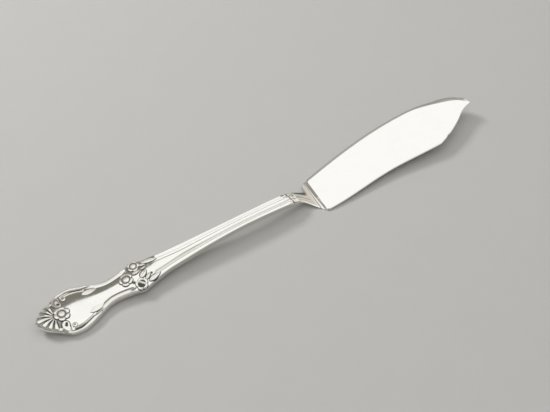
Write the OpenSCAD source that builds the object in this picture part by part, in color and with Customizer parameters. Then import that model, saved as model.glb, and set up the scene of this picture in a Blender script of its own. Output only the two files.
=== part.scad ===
// Master butter knife with a flat arched handle, lying face up.
// s is the distance along the knife from the handle's end, y runs across it towards
// the blade's spine, and z is up from the table.

/* [Handle outline] */
// Length of the handle, from its end to the neck
handle_length = 99.5; // [95:0.5:114]
// Greatest width of the handle's end
end_width = 16.6; // [15:0.1:19]
// Distance from the handle's end to its widest place
end_at = 13; // [12:0.1:14]
// Depth of the hollow in the outline beside the shell
shell_hollow = 0.7; // [0:0.1:1]
// Distance from the handle's end to the middle of that hollow
shell_hollow_at = 6; // [5:0.2:7]
// Length of that hollow to each side of its middle
shell_hollow_length = 4.2; // [3:0.2:5]
// Width of the waist behind the end panel
waist_width = 8.4; // [7.6:0.1:9.6]
// Distance from the handle's end to the waist
waist_at = 26.8; // [25.6:0.1:28]
// Width of the bulge that carries the roses
bulge_width = 10.4; // [9.8:0.1:12]
// Distance from the handle's end to the bulge
bulge_at = 36.8; // [35.8:0.1:38.6]
// Swell of the edges round the side roses
rose_swell = 0.5; // [0:0.1:0.8]
// Width of the stem's root behind the bulge
root_width = 7; // [5.8:0.1:7.6]
// Distance from the handle's end to the stem's root
root_at = 48.5; // [46:0.5:55]
// Width of the stem at its narrowest
stem_width = 4.6; // [4:0.1:5.4]
// Distance from the handle's end to the narrowest place of the stem
stem_at = 79.5; // [72:0.5:86]
// Width of the stem's end at the neck
stem_end_width = 5; // [4.6:0.1:6.2]

/* [Handle section] */
// Thickness at the handle's tip
tip_thickness = 1.4; // [1:0.1:1.8]
// Thickness at the widest place of the end
end_thickness = 2; // [1.5:0.1:2.4]
// Thickness at the bulge
bulge_thickness = 2.3; // [1.9:0.1:2.9]
// Thickness of the stem
stem_thickness = 2.6; // [2.2:0.1:3.2]
// Height of the crown across the end panel
panel_crown = 0.6; // [0.2:0.1:1]
// Radius of the rounded upper edges
edge_round = 0.4; // [0.2:0.05:0.5]
// Height of the rounded lower edges
back_round = 0.4; // [0.2:0.05:0.5]
// Width of the rim and thread along each side of the stem
border_width = 2.1; // [1.6:0.1:2.3]
// Height of the rim and thread over their grooves
border_relief = 0.3; // [0.1:0.05:0.4]

/* [Arch] */
// Height of the underside at the handle's tip
tip_lift = 3; // [1:0.1:4]
// Distance from the handle's end to where it rests
rest_at = 12; // [10:0.5:16]
// Height of the underside at the bulge
bulge_rise = 1.6; // [1:0.1:2.6]
// Height of the underside at the top of the arch
arch_height = 4.2; // [3.4:0.1:6]
// Height of the underside at the stem's end
stem_end_rise = 3.2; // [2.4:0.1:4]

/* [Neck and tang] */
// Length of the neck between the stem and the blade
neck_length = 8.5; // [6:0.5:11]
// Thickness of the neck where it meets the blade
neck_thickness = 0.5; // [0.4:0.05:0.8]
// Reach of the neck where it starts to flare towards the edge
neck_reach = 2.4; // [1.6:0.1:2.6]
// Reach of the neck's throat on the spine's side
throat_reach = 2; // [1.4:0.1:2.4]
// Reach of the shoulder where the neck has flared out on the spine's side
shoulder_reach = 5.6; // [4.8:0.1:6.3]
// Depth of the hollow along the neck's upper face
neck_hollow = 0.25; // [0:0.05:0.4]
// Length of the tang inside the stem
tang_length = 14; // [10:1:20]
// Width of the tang
tang_width = 2.4; // [1.8:0.1:2.8]
// Thickness of the tang
tang_thickness = 1.1; // [0.8:0.1:1.3]
// Thickness of the solder round the tang
solder_gap = 0.1; // [0.05:0.01:0.15]

/* [Blade] */
// Length of the blade, from its heel to its tip
blade_length = 71.5; // [64:0.5:80]
// Thickness along the spine
spine_thickness = 1.6; // [1.3:0.1:2]
// Thickness along the edge
edge_thickness = 0.9; // [0.6:0.05:1.1]
// Width of the bevel along the spine
spine_bevel = 0.8; // [0.4:0.1:1.2]
// Width of the bevel across the heel
heel_bevel = 1.2; // [0.8:0.1:1.6]
// Distance along the knife that the heel slants back from spine to edge
heel_slant = 0.2; // [0:0.1:3.4]
// Height of the underside at the blade's tip
tip_rise = 6; // [2:0.2:7]
// Reach of the heel's corner towards the spine
heel_reach = 6.2; // [5.6:0.1:7.1]
// Rise of the rounded corner between heel and spine
corner_rise = 0.4; // [0:0.1:1.6]
// Length of the rounded corner between heel and spine
corner_length = 0.9; // [0.6:0.1:3]
// Reach of the spine at its highest place
spine_reach = 12.4; // [11:0.1:14]
// Distance from the heel to the spine's highest place
crest_from_heel = 43.5; // [38:0.5:48]
// Drop of the edge just past the heel
heel_drop = 8.6; // [8.2:0.1:9.8]
// Distance from the heel to the edge's lowest place
heel_drop_at = 1.4; // [0.4:0.2:4]
// Drop of the edge at the middle of the blade
edge_drop = 6.6; // [5.8:0.1:7]
// Distance from the heel to the middle of the edge
edge_middle_at = 31.5; // [28:0.5:40]
// Drop of the edge at the belly, where the end begins
belly_drop = 7.1; // [6.9:0.1:7.5]
// Distance from the belly to the tip along the blade
end_length = 20; // [17:0.5:24]
// Reach of the tip towards the spine
tip_reach = 2.8; // [1:0.1:5]
// Fullness of the curved end between belly and tip
end_bulge = 0.75; // [0.2:0.05:1]
// Depth of the nick between the end's two lobes
end_nick = 0.35; // [0:0.05:0.5]

/* [Shell and rosette] */
// Distance from the handle's end to the rosette's centre
rosette_at = 8.9; // [8.4:0.1:9.6]
// Diameter of the rosette
rosette_diameter = 5.2; // [4.8:0.1:5.6]
// Height of the rosette
rosette_relief = 0.9; // [0.6:0.05:1.2]
// Number of petals on the rosette
rosette_petals = 6; // [5:1:8]
// Number of flutes in the shell
shell_flutes = 7; // [5:2:9]
// Half the angle that the shell spreads over
shell_spread = 60; // [50:1:64]
// Height of the shell's flutes
shell_relief = 0.7; // [0.4:0.05:0.9]
// Depth of the scallops along the shell's edge
shell_scallop = 0.25; // [0:0.05:0.4]
// Distance of the shell and scrolls from the handle's edge
ornament_inset = 0.15; // [0.1:0.05:0.3]

/* [Scrolls] */
// Width of the scrolls
scroll_width = 1.2; // [1:0.1:1.4]
// Height of the scrolls
scroll_relief = 0.55; // [0.3:0.05:0.8]
// Radius of the curl at the start of each end scroll
curl_radius = 0.5; // [0.4:0.05:0.6]
// Distance of the curls' eyes behind the rosette's centre
curl_lead = 0.3; // [0:0.1:1]
// Distance of the curls' eyes from the rosette's edge
curl_gap = 1.8; // [1.7:0.1:2.1]
// Distance from the handle's end to where the end scrolls run out
end_scroll_to = 21; // [20:0.5:22]
// Length of the waist scrolls' leaf tips, beside the end scrolls
leaf_tip_length = 3; // [2:0.5:4]
// Distance of those leaf tips from the handle's edge
leaf_tip_inset = 3.4; // [3:0.1:4]
// Gap between each waist scroll and the end scroll beside it
scroll_gap = 0.1; // [0.05:0.05:0.3]
// Length over which the waist scrolls swing out to the edge
waist_join_length = 3.5; // [2.5:0.5:4.5]
// Gap between the waist scrolls and the side roses
waist_scroll_gap = 1; // [0.5:0.1:2]

/* [Roses and leaves] */
// Diameter of the roses
rose_diameter = 4.2; // [3.8:0.1:4.4]
// Height of the roses
rose_relief = 0.7; // [0.5:0.05:1.1]
// Number of petals on each rose
rose_petals = 5; // [5:1:7]
// Distance of the middle rose before the bulge
rose_lead = 4.2; // [3.6:0.1:4.6]
// Distance of the side roses' centres from the bulge's edge
rose_inset = 2; // [1.9:0.1:2.4]
// Length of the leaves
leaf_length = 5.6; // [4:0.1:6.5]
// Width of the leaves
leaf_width = 1.8; // [1.4:0.1:2]
// Gap between the leaves and the roses
leaf_gap = 0.2; // [0.1:0.05:0.5]
// Height of the leaves
leaf_relief = 0.5; // [0.3:0.05:0.7]
// Length of the collar at the stem's end
collar_length = 3; // [2:0.5:6]
// Height of the collar
collar_relief = 0.4; // [0.25:0.05:0.6]
// Thickness of the solder under each ornament
solder_film = 0.05; // [0.02:0.01:0.08]

/* [Hidden] */

// Start of the flare, throat and shoulder, as shares of the neck's length
flare_share = 0.12;
throat_share = 0.53;
shoulder_share = 0.72;
heel_at = handle_length + neck_length;
overall_length = heel_at + blade_length;
belly_at = overall_length - end_length;
crest_at = heel_at + crest_from_heel;
bevel_from = heel_at - heel_bevel;
flare_at = handle_length + flare_share * neck_length;
throat_at = handle_length + throat_share * neck_length;
shoulder_at = handle_length + shoulder_share * neck_length;
rise_slope = tip_rise / (overall_length - bevel_from);
middle_y = (spine_reach - heel_drop) / 2;

// Half the blunt width left at the handle's tip
tip_half = 0.3;
// Thickness of the ornaments at their own edges
ornament_edge = 0.15;
// Part of the neck's fall that is straight; the rest levels out at the heel
straight_fall = 0.8;
// Length of blade over which the heel's slant fades out
slant_fade = 24;
// Metal left under the blade that the flat grinding cut takes off
grind_allowance = 0.1;
// Length over which the tang runs on into the neck, and its socket out of the stem
tang_overlap = 1;
// Lengths over which the stem's border rises from the leaves and sinks at the collar
border_rise = 3;
border_sink = 2;
// Most of the half width that the border takes on each side
border_limit = 0.8;
// Rim, thread and centre band across the border, as shares of its width from the edge
rim_at = 0.22;
rim_half = 0.26;
thread_at = 0.72;
thread_half = 0.18;
thread_share = 0.7;
band_from = 0.9;
band_climb = 0.3;
// Bluntness of the handle's pointed end and of the blade's tip
end_power = 0.75;
tip_power = 0.52;
tip_share = 0.995;
// Where the blade's end turns from full to hollow, and the place and half length of its nick
end_turn = 0.72;
end_hollow = 0.3;
nick_at = 0.22;
nick_half = 0.08;
// Power that squares the back's edges and gathers the stations at the handle's tip
back_power = 8;
tip_gather = 1.5;
// Fineness of the lofts, as steps along each stretch
end_steps = 12;
panel_steps = 20;
stem_steps = 24;
tang_steps = 6;
neck_steps = 16;
corner_steps = 7;
edge_steps = 14;
tip_steps = 26;
end_scroll_rows = 34;
waist_scroll_rows = 22;

// Points across the border, as shares of its width from the edge inwards
border_marks = [0, 0.08, 0.22, 0.36, 0.48, 0.6, 0.72, 0.82, 0.9, 1];
// Points across the middle and the back, as shares of the width left there
middle_marks = [0.66, 0.33];
back_marks = [-1, -0.9, -0.5, 0, 0.5, 0.9, 1];

// Handle outline, underside and thickness as [distance, value] points
width_keys = [
    [end_at, end_width / 2], [waist_at, waist_width / 2], [bulge_at, bulge_width / 2],
    [root_at, root_width / 2], [stem_at, stem_width / 2], [handle_length, stem_end_width / 2]
];
under_keys = [
    [0, tip_lift], [rest_at, 0], [bulge_at, bulge_rise],
    [stem_at, arch_height], [handle_length, stem_end_rise], [bevel_from, 0]
];
thickness_keys = [
    [0, tip_thickness], [end_at, end_thickness], [bulge_at, bulge_thickness],
    [stem_at, stem_thickness], [handle_length, stem_thickness]
];
shoulder_keys = [
    [handle_length, stem_end_width / 2], [throat_at, throat_reach],
    [shoulder_at, shoulder_reach], [bevel_from, heel_reach]
];
edge_keys = [
    [handle_length, stem_end_width / 2], [flare_at, neck_reach], [heel_at + heel_drop_at, heel_drop],
    [heel_at + edge_middle_at, edge_drop], [belly_at, belly_drop]
];

// Smooth curve through a list of points, without overshoot at its turning points
function grade(a, b) = (b[1] - a[1]) / (b[0] - a[0]);
function key_grade(keys, i) =
    i == 0 || i == len(keys) - 1 ? 0 :
    let (before = grade(keys[i - 1], keys[i]), after = grade(keys[i], keys[i + 1]))
    before * after <= 0 ? 0 : 2 * before * after / (before + after);
function curve(keys, x) =
    let (
        inside = min(max(x, keys[0][0]), keys[len(keys) - 1][0]),
        i = max([for (j = [0:len(keys) - 2]) if (keys[j][0] <= inside) j]),
        span = keys[i + 1][0] - keys[i][0],
        t = (inside - keys[i][0]) / span
    )
    keys[i][1] * (1 + 2 * t) * pow(1 - t, 2) + keys[i + 1][1] * t * t * (3 - 2 * t)
    + span * (key_grade(keys, i) * t * pow(1 - t, 2) + key_grade(keys, i + 1) * t * t * (t - 1));

// Rounded hump from -1 to 1, ramp from 0 to 1, and quarter round from 0 to 1
function hump(x) = abs(x) < 1 ? (1 + cos(180 * x)) / 2 : 0;
function ramp(x) = let (t = min(max(x, 0), 1)) t * t * (3 - 2 * t);
function quarter_round(x) = let (t = min(max(x, 0), 1)) sqrt(1 - pow(1 - t, 2));

// Handle outline: an ogive at the end, then the waist, bulge and stem
function half_width(s) =
    let (hollow = shell_hollow * hump((s - shell_hollow_at) / shell_hollow_length))
    s < end_at ? max(tip_half, end_width / 2 * sin(90 * pow(max(s, 0) / end_at, end_power)) - hollow)
    : curve(width_keys, s) + rose_swell * hump((s - bulge_at) / rose_diameter);
function under(s) = curve(under_keys, s);
function thickness(s) = curve(thickness_keys, s);
function border(s) = min(border_width, border_limit * half_width(s));

// The rim and thread show along the stem, from the leaves to the collar
function border_shows(s) =
    ramp((s - leaf_from - leaf_length) / border_rise)
    * ramp((handle_length - collar_length - s) / border_sink);
function border_height(share) =
    hump((share - rim_at) / rim_half) + thread_share * hump((share - thread_at) / thread_half)
    + ramp((share - band_from) / band_climb);
function edge_fall(d) = edge_round - edge_round * quarter_round(d / edge_round);

// Upper and lower faces of the handle
function upper(s, y) =
    let (w = half_width(s), d = max(0, w - abs(y)))
    under(s) + thickness(s) + panel_crown * (1 - pow(min(1, abs(y) / w), 2)) - edge_fall(d)
    + border_relief * border_shows(s) * border_height(d / border(s));
function lower(s, y) = under(s) + back_round * pow(abs(y) / half_width(s), back_power);
function handle_ring(s) =
    let (
        w = half_width(s),
        inner = w - border(s),
        side = concat([for (m = border_marks) w - m * border(s)], [for (m = middle_marks) m * inner]),
        across = concat([for (y = side) -y], [0], [for (i = [len(side) - 1:-1:0]) side[i]])
    )
    concat(
        [for (m = back_marks) placed(s, m * w, lower(s, m * w))],
        [for (i = [len(across) - 1:-1:0]) placed(s, across[i], upper(s, across[i]))]
    );
handle_stations = concat(
    [for (i = [0:end_steps]) end_at * pow(i / end_steps, tip_gather)],
    [for (i = [1:panel_steps]) end_at + (root_at - end_at) * i / panel_steps],
    [for (i = [1:stem_steps]) root_at + (handle_length - root_at) * i / stem_steps]
);

// Place of a point in the knife's own frame
function placed(s, y, z) = [s - overall_length / 2, y - middle_y, z];

// Blade outline: spine on the upper side, edge on the lower side
function spine(s) =
    let (x = s - heel_at, t = tip_share * (s - crest_at) / (overall_length - crest_at))
    s > crest_at ? tip_reach + (spine_reach - tip_reach) * pow(1 - t * t, tip_power)
    : heel_reach + corner_rise * quarter_round(x / corner_length)
    + (spine_reach - heel_reach - corner_rise) * sin(90 * x / crest_from_heel);
function end_shape(t) =
    t < end_turn ? end_bulge * sin(180 * t / end_turn) * (1 - end_nick * hump((t - nick_at) / nick_half))
    : -end_hollow * end_bulge * sin(180 * (t - end_turn) / (1 - end_turn));
function edge(s) =
    let (t = (s - belly_at) / end_length)
    s > belly_at ? -belly_drop + (belly_drop + tip_reach) * t - end_shape(t) : -curve(edge_keys, s);
function plate_under(s) = (s - bevel_from) * rise_slope;

// The heel slants: points near it move along the knife by their distance from the spine
function slanted(s, y) =
    s + heel_slant * (heel_reach - y) / (heel_reach + heel_drop)
    * ramp(neck_share(s)) * ramp(1 - (s - heel_at) / slant_fade);

// Ring of the blade: low and high side, underside, heights there, bevels and hollow
bevel_limit = 0.3;
edge_cut_share = 0.35;
edge_cut_limit = 0.2;
spine_wall = 0.55;
edge_wall = 0.65;
function blade_ring(s, low, high, base, low_height, high_height, bevel, hollow) =
    let (
        wide = high - low,
        cut = min(bevel, bevel_limit * wide),
        edge_cut = min(edge_cut_share * edge_thickness, edge_cut_limit * wide),
        ground = -grind_allowance,
        section = concat(
            [
                [low + edge_cut, ground], [(low + high) / 2, ground], [high - edge_cut, ground],
                [high, edge_cut], [high, spine_wall * high_height]
            ],
            [
                for (f = [0:0.25:1])
                [
                    (high - cut) * (1 - f) + (low + edge_cut) * f,
                    high_height * (1 - f) + low_height * f - hollow * sin(180 * f)
                ]
            ],
            [[low, edge_wall * low_height], [low, edge_cut]]
        )
    )
    [for (p = section) let (along = slanted(s, p[0])) placed(along, p[0], base(along) + p[1])];
function neck_share(s) = min(1, (s - handle_length) / (bevel_from - handle_length));
function neck_top(s) =
    let (left = 1 - neck_share(s), drop = stem_end_rise + stem_thickness - neck_thickness)
    neck_thickness + drop * (straight_fall * left + (1 - straight_fall) * left * left);
function neck_ring(s) =
    let (tall = neck_top(s) - under(s))
    blade_ring(
        s, edge(s), curve(shoulder_keys, s), function(along) under(along), tall, tall, edge_round,
        neck_hollow * sin(180 * neck_share(s))
    );
function plate_ring(s) =
    blade_ring(
        s, edge(s), spine(s), function(along) plate_under(along), edge_thickness, spine_thickness,
        spine_bevel, 0
    );

// Tang: a small bar along the stem's middle, grown by the solder for its socket
function tang_middle(s) = under(min(s, handle_length)) + stem_thickness / 2;
function tang_ring(s, grow) =
    let (half = tang_width / 2 + grow, tall = tang_thickness + 2 * grow)
    [
        for (corner = [[-1, 0], [1, 0], [1, 1], [-1, 1]])
        placed(s, corner[0] * half, tang_middle(s) + tall * (corner[1] - 0.5))
    ];
tang_from = handle_length - tang_length;
socket_from = tang_from - solder_gap;
function tang_stations(from, to) = [for (i = [0:tang_steps]) from + (to - from) * i / tang_steps];

// Solid through a list of equal rings, closed at both ends
function middle(ring) = ([for (p = ring) 1] * ring) / len(ring);
module loft(rings) {
    n = len(rings[0]);
    last = len(rings) - 1;
    sides = [
        for (i = [0:last - 1], j = [0:n - 1])
        let (a = i * n + j, b = i * n + (j + 1) % n, c = b + n, d = a + n)
        each [[a, d, c], [a, c, b]]
    ];
    first_middle = (last + 1) * n;
    caps = [
        for (j = [0:n - 1])
        let (k = (j + 1) % n)
        each [[first_middle, j, k], [first_middle + 1, last * n + k, last * n + j]]
    ];
    points = [for (ring = rings) each ring];
    polyhedron(concat(points, [middle(rings[0]), middle(rings[last])]), concat(sides, caps));
}

// Point of an ornament [s, y, height] over the handle's upper face
function seated(spot, height) =
    placed(spot[0], spot[1], upper(spot[0], spot[1]) + solder_film + height);

// Ornament over a grid of spots, with an underside that follows the handle
module relief(rows, columns, spot, round_trip = false) {
    n = round_trip ? columns : columns + 1;
    half = (rows + 1) * n;
    spots = [for (i = [0:rows], j = [0:n - 1]) spot(i / rows, j / columns)];
    cells = [
        for (i = [0:rows - 1], j = [0:columns - 1])
        [i * n + j, i * n + (j + 1) % n, (i + 1) * n + (j + 1) % n, (i + 1) * n + j]
    ];
    rim = round_trip ? [for (j = [0:n - 1]) rows * n + j] : concat(
        [for (i = [0:rows]) i * n], [for (j = [1:n - 1]) rows * n + j],
        [for (i = [rows - 1:-1:0]) i * n + n - 1], [for (j = [n - 2:-1:1]) j]
    );
    walls = [
        for (k = [0:len(rim) - 1])
        let (a = rim[k], b = rim[(k + 1) % len(rim)])
        each [[a, b, half + b], [a, half + b, half + a]]
    ];
    caps = round_trip ? [[for (j = [n - 1:-1:0]) j], [for (j = [0:n - 1]) half + j]] : [];
    tops = [for (q = cells) each [[q[0], q[1], q[2]], [q[0], q[2], q[3]]]];
    bottoms = [for (t = tops) [half + t[0], half + t[2], half + t[1]]];
    faces = concat(tops, bottoms, walls, caps);
    polyhedron(
        concat([for (p = spots) seated(p, ornament_edge + p[2])], [for (p = spots) seated(p, 0)]), faces
    );
}

// Strip of a given half width along a path of [s, y] points, rounded across
function path_normal(path, u) =
    let (step = 0.01, d = path(min(1, u + step)) - path(max(0, u - step)))
    [-d[1], d[0]] / norm(d);
function strip_spot(path, half, height, u, v) =
    let (c = path(u), n = path_normal(path, u), x = 2 * v - 1)
    [c[0] + n[0] * x * half(u), c[1] + n[1] * x * half(u), height(u) * sqrt(max(0, 1 - x * x))];
module strip(rows, side, path, half, height) {
    relief(
        rows, 4,
        function(u, v)
            let (p = strip_spot(path, half, height, u, side > 0 ? v : 1 - v)) [p[0], side * p[1], p[2]]
    );
}

// Distance from the rosette's centre to the handle's edge in a direction
function edge_reach(angle, near = 0, far = 14, tries = 14) =
    let (r = (near + far) / 2, s = rosette_at + r * cos(angle))
    tries == 0 ? r
    : s > 0 && abs(r * sin(angle)) < half_width(s) ? edge_reach(angle, r, far, tries - 1)
    : edge_reach(angle, near, r, tries - 1);

// Flower with a domed heart in a ring and a round of petals, as shares of its radius and height
heart_pip = 0.08;
heart = 0.42;
petal_span = 0.6;
petal_low = 0.45;
petal_rise = 0.35;
petal_cut = 0.14;
module flower(s, y, diameter, petals, height) {
    relief(
        5, 6 * petals,
        function(u, v)
            let (
                angle = 360 * v,
                lobe = abs(cos(petals * angle / 2)),
                r = heart_pip + (1 - heart_pip) * u,
                reach = diameter / 2 * r * (1 - petal_cut * (1 - lobe) * ramp(u)),
                dome = r < heart ? sqrt(1 - pow(r / heart, 2)) : 0,
                swell = r > heart ? sin(180 * min(1, (r - heart) / petal_span)) : 0,
                petal = swell * (petal_low + petal_rise * lobe)
            )
            [s + reach * cos(angle), y + reach * sin(angle), (height - ornament_edge) * max(dome, petal)],
        true
    );
}

// Leaf with a sunk midrib, pointed at both ends
leaf_blunt = 0.06;
leaf_power = 0.8;
midrib_depth = 0.6;
module leaf(s, y, angle) {
    relief(
        7, 4,
        function(u, v)
            let (
                x = 2 * v - 1,
                full = pow(sin(180 * pow(u, leaf_power)), leaf_power),
                half = leaf_width / 2 * (leaf_blunt + (1 - leaf_blunt) * full),
                along = leaf_length * u,
                across = (1 - midrib_depth * hump(2 * x)) * (1 - x * x),
                rise = (leaf_relief - ornament_edge) * sin(180 * u) * across
            )
            [
                s + along * cos(angle) - x * half * sin(angle),
                y + along * sin(angle) + x * half * cos(angle),
                rise
            ]
    );
}

module handle() {
    color("silver")
    difference() {
        loft([for (s = handle_stations) handle_ring(s)]);
        loft([for (s = tang_stations(socket_from, handle_length + tang_overlap)) tang_ring(s, solder_gap)]);
    }
}

module blade() {
    neck_from = handle_length + solder_film;
    corner_reach = max(corner_length, heel_drop_at);
    corner_to = heel_at + corner_reach;
    plate_stations = concat(
        [for (i = [0:corner_steps]) heel_at + corner_reach * pow(i / corner_steps, 2)],
        [for (i = [1:edge_steps]) corner_to + (belly_at - corner_to) * i / edge_steps],
        [for (i = [1:tip_steps]) belly_at + end_length * sin(90 * i / tip_steps)]
    );
    color("gainsboro")
    difference() {
        union() {
            loft([for (s = tang_stations(tang_from, neck_from + tang_overlap)) tang_ring(s, 0)]);
            loft(concat(
                [
                    for (i = [0:neck_steps])
                    let (s = neck_from + (bevel_from - neck_from) * i / neck_steps)
                    neck_ring(s)
                ],
                [for (s = plate_stations) plate_ring(s)]
            ));
        }
        below_blade();
    }
}

// Everything under the plane that the blade's underside is ground to
module below_blade() {
    translate(placed(bevel_from, 0, 0))
    rotate([0, -atan(rise_slope), 0])
    translate([-overall_length, -overall_length, -overall_length])
    cube([2 * overall_length, 2 * overall_length, overall_length]);
}

module tang_solder() {
    color("lightslategray")
    difference() {
        loft([for (s = tang_stations(socket_from, handle_length)) tang_ring(s, solder_gap)]);
        loft([for (s = tang_stations(tang_from, handle_length + tang_overlap)) tang_ring(s, 0)]);
    }
}

// Collar with three leaf tips that point back along the stem
collar_notch = 0.5;
collar_power = 0.6;
module neck_collar() {
    color("lightgray")
    relief(
        6, 12,
        function(u, v)
            let (
                x = 2 * v - 1,
                tips = collar_notch + (1 - collar_notch) * abs(cos(270 * x)),
                s = handle_length - collar_length * tips * u,
                y = -x * (half_width(s) - ornament_inset)
            )
            [s, y, (collar_relief - ornament_edge) * (1 - x * x) * sin(180 * pow(u, collar_power))]
    );
}

// Fan of flutes from the rosette to the handle's edge
flute_valley = 0.25;
flute_from = 0.08;
flute_to = 0.98;
flute_power = 0.8;
module end_shell() {
    inner = rosette_diameter / 2 + solder_film;
    color("lightgray")
    relief(
        6, 5 * shell_flutes,
        function(u, v)
            let (
                angle = 180 + shell_spread * (2 * v - 1),
                wave = abs(cos(180 * shell_flutes * (v - 0.5))),
                outer = edge_reach(angle) - ornament_inset - shell_scallop * (1 - wave),
                r = inner + (outer - inner) * u,
                swell = sin(180 * pow(flute_from + (flute_to - flute_from) * u, flute_power)),
                rise = swell * (flute_valley + (1 - flute_valley) * wave)
            )
            [rosette_at + r * cos(angle), r * sin(angle), (shell_relief - ornament_edge) * rise]
    );
}

module end_rosette() {
    color("whitesmoke")
    flower(rosette_at, 0, rosette_diameter, rosette_petals, rosette_relief);
}

// Scroll that curls beside the rosette and runs back along the handle's edge
curl_share = 0.5;
curl_turn = 290;
curl_power = 1.5;
end_taper_share = 0.45;
end_taper_lead = 0.12;
end_taper_stop = 0.99;
module end_scroll(side) {
    inset = ornament_inset + scroll_width / 2;
    eye_s = rosette_at + curl_lead;
    eye_y = rosette_diameter / 2 + curl_gap;
    edge_y = function(s) half_width(s) - inset;
    open_radius = edge_y(eye_s) - eye_y;
    path = function(u)
        u < curl_share
        ? let (
            t = u / curl_share,
            angle = 90 + curl_turn * (1 - t),
            r = curl_radius + (open_radius - curl_radius) * pow(t, curl_power)
        )
        [eye_s + r * cos(angle), eye_y + r * sin(angle)]
        : let (s = eye_s + (end_scroll_to - eye_s) * (u - curl_share) / (1 - curl_share)) [s, edge_y(s)];
    taper = function(u)
        end_taper_share + (1 - end_taper_share) * sin(180 * min(end_taper_stop, u + end_taper_lead));
    color("gainsboro")
    strip(
        end_scroll_rows, side, path,
        function(u) scroll_width / 2 * taper(u),
        function(u) (scroll_relief - ornament_edge) * taper(u)
    );
}
module end_scroll_left() { end_scroll(1); }
module end_scroll_right() { end_scroll(-1); }

// Scroll with a leaf tip on the panel that joins the edge and follows the waist
waist_taper_share = 0.2;
waist_taper_lead = 0.04;
waist_taper_stop = 0.97;
module waist_scroll(side) {
    edge_inset = ornament_inset + scroll_width / 2;
    start = end_scroll_to - leaf_tip_length;
    stop = bulge_at - rose_diameter / 2 - waist_scroll_gap;
    inset_keys = [
        [start, leaf_tip_inset], [end_scroll_to, edge_inset + scroll_width + scroll_gap],
        [end_scroll_to + waist_join_length, edge_inset], [stop, edge_inset]
    ];
    path = function(u)
        let (s = start + (stop - start) * u)
        [s, half_width(s) - curve(inset_keys, s)];
    taper = function(u)
        waist_taper_share
        + (1 - waist_taper_share) * sqrt(sin(180 * min(waist_taper_stop, waist_taper_lead + u)));
    color("gainsboro")
    strip(
        waist_scroll_rows, side, path,
        function(u) scroll_width / 2 * taper(u),
        function(u) (scroll_relief - ornament_edge) * taper(u)
    );
}
module waist_scroll_left() { waist_scroll(1); }
module waist_scroll_right() { waist_scroll(-1); }

// Roses: one before the bulge and one at each of its edges
module rose(s, y) {
    color("whitesmoke")
    flower(s, y, rose_diameter, rose_petals, rose_relief);
}
rose_side = bulge_width / 2 + rose_swell - rose_inset;
module rose_centre() { rose(bulge_at - rose_lead, 0); }
module rose_left() { rose(bulge_at, rose_side); }
module rose_right() { rose(bulge_at, -rose_side); }

// Leaves that spread from the roses towards the stem
leaf_turn = 8;
leaf_from = bulge_at + rose_diameter / 2 + leaf_gap;
module leaf_centre() { color("lightgray") leaf(leaf_from - rose_lead, 0, 0); }
module leaf_left() { color("lightgray") leaf(leaf_from, rose_side - leaf_width / 2, -leaf_turn); }
module leaf_right() { color("lightgray") leaf(leaf_from, leaf_width / 2 - rose_side, leaf_turn); }

handle();
blade();
tang_solder();
neck_collar();
end_shell();
end_rosette();
end_scroll_left();
end_scroll_right();
waist_scroll_left();
waist_scroll_right();
rose_centre();
rose_left();
rose_right();
leaf_centre();
leaf_left();
leaf_right();
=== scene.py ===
import bpy
import numpy as np
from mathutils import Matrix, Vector

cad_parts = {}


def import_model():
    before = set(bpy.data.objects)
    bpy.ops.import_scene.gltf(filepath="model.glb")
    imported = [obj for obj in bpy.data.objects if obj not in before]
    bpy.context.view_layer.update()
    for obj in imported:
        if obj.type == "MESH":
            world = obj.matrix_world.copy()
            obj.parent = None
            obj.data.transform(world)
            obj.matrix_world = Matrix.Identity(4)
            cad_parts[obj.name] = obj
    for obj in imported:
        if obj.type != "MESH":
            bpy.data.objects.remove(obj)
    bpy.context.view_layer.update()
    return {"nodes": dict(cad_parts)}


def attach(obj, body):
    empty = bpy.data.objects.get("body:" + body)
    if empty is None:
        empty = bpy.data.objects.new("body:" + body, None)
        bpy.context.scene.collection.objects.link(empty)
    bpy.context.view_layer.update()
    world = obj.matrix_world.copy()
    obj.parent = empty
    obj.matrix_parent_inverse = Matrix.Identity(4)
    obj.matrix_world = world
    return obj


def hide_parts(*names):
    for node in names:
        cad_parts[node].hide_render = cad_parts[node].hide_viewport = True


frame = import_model()
print("frame loaded")

# The knife's sizes are in millimetres and the stage's in metres. s runs from the handle's end to the tip,
# y towards the spine, z up.
handleSize = dict(
    length=99.5, endWidth=16.6, endAt=13.0, endPower=0.75, tipHalf=0.3,
    shellHollow=0.7, shellHollowAt=6.0, shellHollowLength=4.2,
    waistWidth=8.4, waistAt=26.8, bulgeWidth=10.4, bulgeAt=36.8, roseSwell=0.5, roseReach=4.2,
    rootWidth=7.0, rootAt=48.5, stemWidth=4.6, stemAt=79.5, stemEndWidth=5.0,
    tipThickness=1.4, endThickness=2.0, bulgeThickness=2.3, stemThickness=2.6,
    panelCrown=0.6, edgeRound=0.4, backRound=0.4, backPower=8, endFall=0.9, endFallFrom=95.5,
    levelFrom=41.0, levelRise=5.0, levelTo=97.0, levelSink=3.0, levelHeight=0.25, levelEdge=0.5,
    tipLift=3.0, restAt=12.0, bulgeRise=1.6, archHeight=4.196, stemEndRise=3.2,
)
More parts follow.
